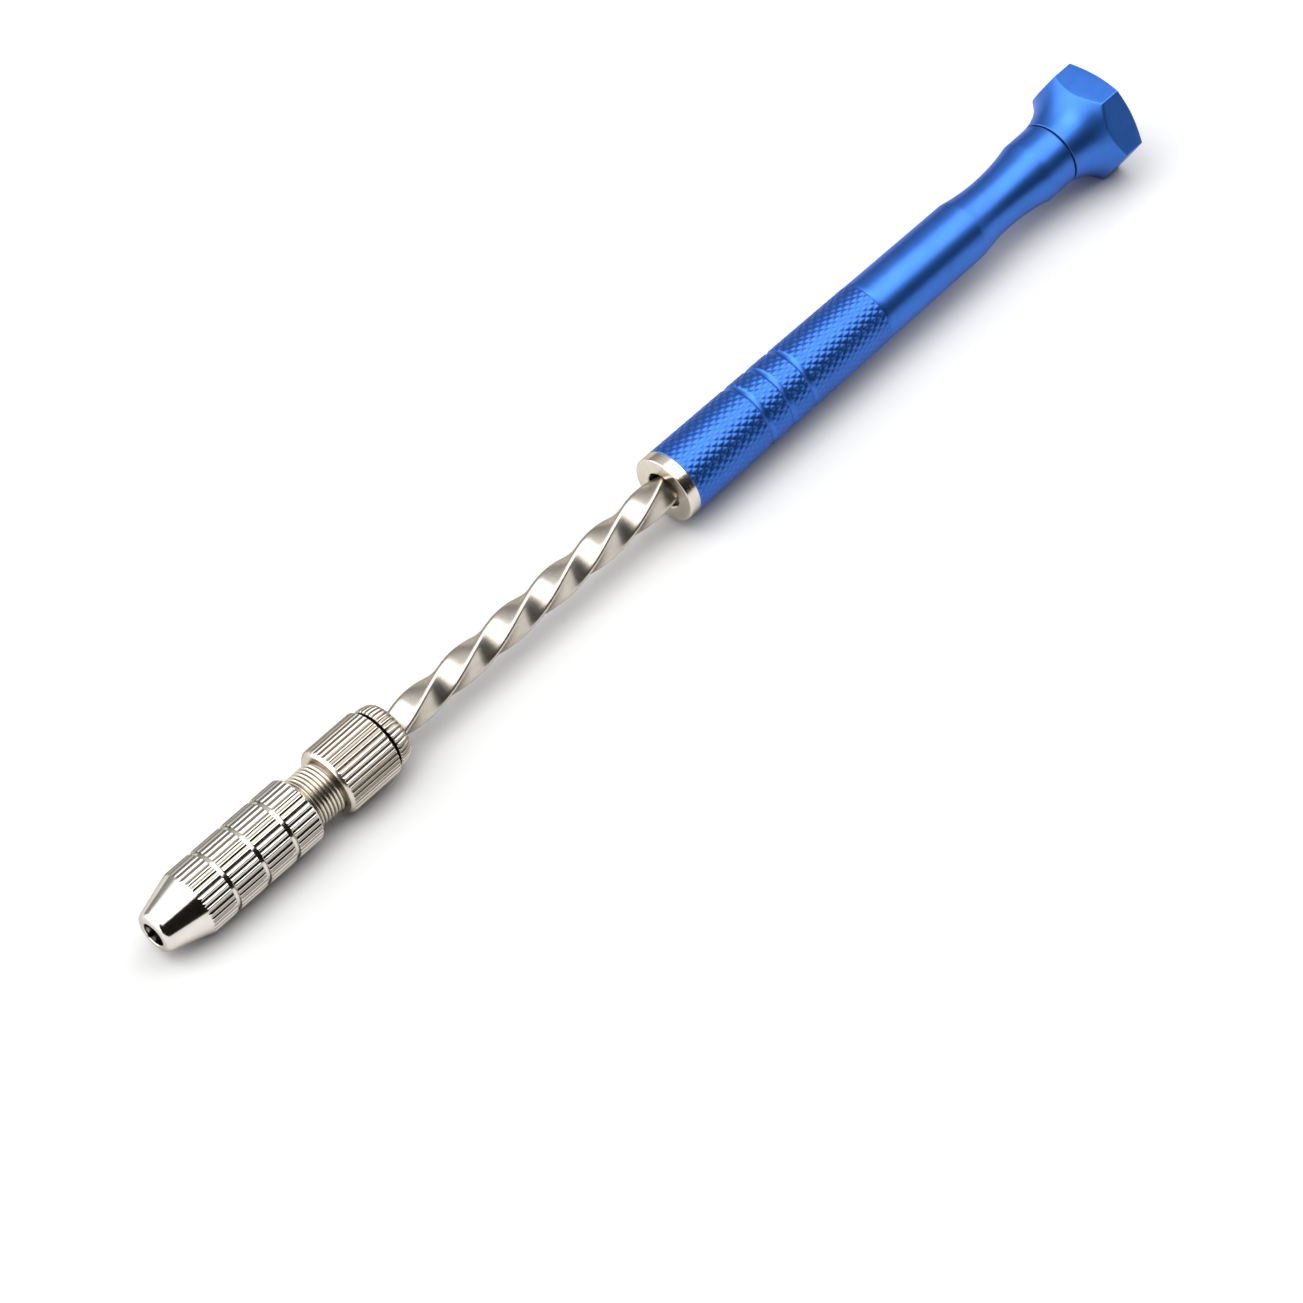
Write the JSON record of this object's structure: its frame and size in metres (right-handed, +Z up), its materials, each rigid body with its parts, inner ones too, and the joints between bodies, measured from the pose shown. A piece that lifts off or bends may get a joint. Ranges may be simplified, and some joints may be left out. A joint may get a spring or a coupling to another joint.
{
  "type": "pin vise drill",
  "caption": "Sprung push drill: a spiral shaft slides into a knurled handle and turns a small three-jaw chuck; hexagonal swivel head.",
  "frame": {"origin": "on the tool's axis at the mouth of the jaws, 2.4 mm inside the nose", "axes": "+X along the tool's axis from the chuck towards the hexagonal head, +Z up with the tool lying on one flat of the head"},
  "size_m": [0.2159, 0.0204, 0.0176],
  "materials": {
    "sleeve_nickel": "polished nickel plate, straight knurl",
    "body_nickel": "satin nickel plate",
    "shaft_steel": "nickel plated, drawn lines",
    "tool_steel": "ground",
    "spring_steel": "drawn wire",
    "brass": "turned",
    "blue_anodised": "blue anodised, satin, diamond knurl on the grip",
    "dark_washer": "matte, dark blue"
  },
  "bodies": {
    "handle": {"handle_tube": "blue_anodised", "end_ferrule": "body_nickel", "drive_nut": "tool_steel", "drive_nut_pin": "tool_steel", "end_plug": "tool_steel", "head_washer": "dark_washer", "retaining_ring": "tool_steel", "return_spring": "spring_steel"},
    "carriage": {"spring_follower": "brass", "thrust_washer": "tool_steel"},
    "spindle": {"twisted_shaft": "shaft_steel", "stop_collar": "tool_steel", "stop_collar_pin": "tool_steel", "chuck_body": "body_nickel", "chuck_rear_collar": "body_nickel"},
    "jaw_carrier": {"jaw_guide": "tool_steel", "jaw_springs": "spring_steel"},
    "sleeve": {"chuck_sleeve": "sleeve_nickel"},
    "jaw_a": {"jaw_1": "tool_steel"},
    "jaw_b": {"jaw_2": "tool_steel"},
    "jaw_c": {"jaw_3": "tool_steel"},
    "head": {"hex_head": "blue_anodised"}
  },
  "joints": [
    {"name": "shaft_slide", "type": "slide", "parent": "handle", "child": "carriage", "axis": [1, 0, 0], "range_m": [0, 0.055], "stiffness_N_per_m": 330, "springref_m": -0.01, "deforming": ["return_spring"]},
    {"name": "spindle_spin", "type": "hinge", "parent": "carriage", "child": "spindle", "pos_m": [0.1235, 0, 0], "axis": [1, 0, 0], "range_deg": [-484, 0]},
    {"name": "sleeve_turn", "type": "hinge", "parent": "spindle", "child": "jaw_carrier", "pos_m": [0.0125, 0, 0], "axis": [1, 0, 0], "range_deg": [-231, 1545]},
    {"name": "sleeve_draw", "type": "slide", "parent": "jaw_carrier", "child": "sleeve", "axis": [1, 0, 0], "range_m": [-0.00045, 0.003], "deforming": ["jaw_springs"]},
    {"name": "jaw_1_close", "type": "slide", "parent": "jaw_carrier", "child": "jaw_a", "axis": [0, 0, -1], "range_m": [-0.00016, 0.00101]},
    {"name": "jaw_2_close", "type": "slide", "parent": "jaw_carrier", "child": "jaw_b", "axis": [0, 0.866, 0.5], "range_m": [-0.00016, 0.00101]},
    {"name": "jaw_3_close", "type": "slide", "parent": "jaw_carrier", "child": "jaw_c", "axis": [0, -0.866, 0.5], "range_m": [-0.00016, 0.00101]},
    {"name": "head_swivel", "type": "hinge", "parent": "handle", "child": "head", "pos_m": [0.205, 0, 0], "axis": [1, 0, 0], "continuous": true}
  ],
  "couplings": [
    {"joint": "spindle_spin", "follows": "shaft_slide", "rad_per_m": -153.25},
    {"joint": "sleeve_turn", "follows": "sleeve_draw", "rad_per_m": 8976},
    {"joint": "jaw_1_close", "follows": "sleeve_draw", "ratio": 0.33266},
    {"joint": "jaw_2_close", "follows": "sleeve_draw", "ratio": 0.33266},
    {"joint": "jaw_3_close", "follows": "sleeve_draw", "ratio": 0.33266}
  ]
}
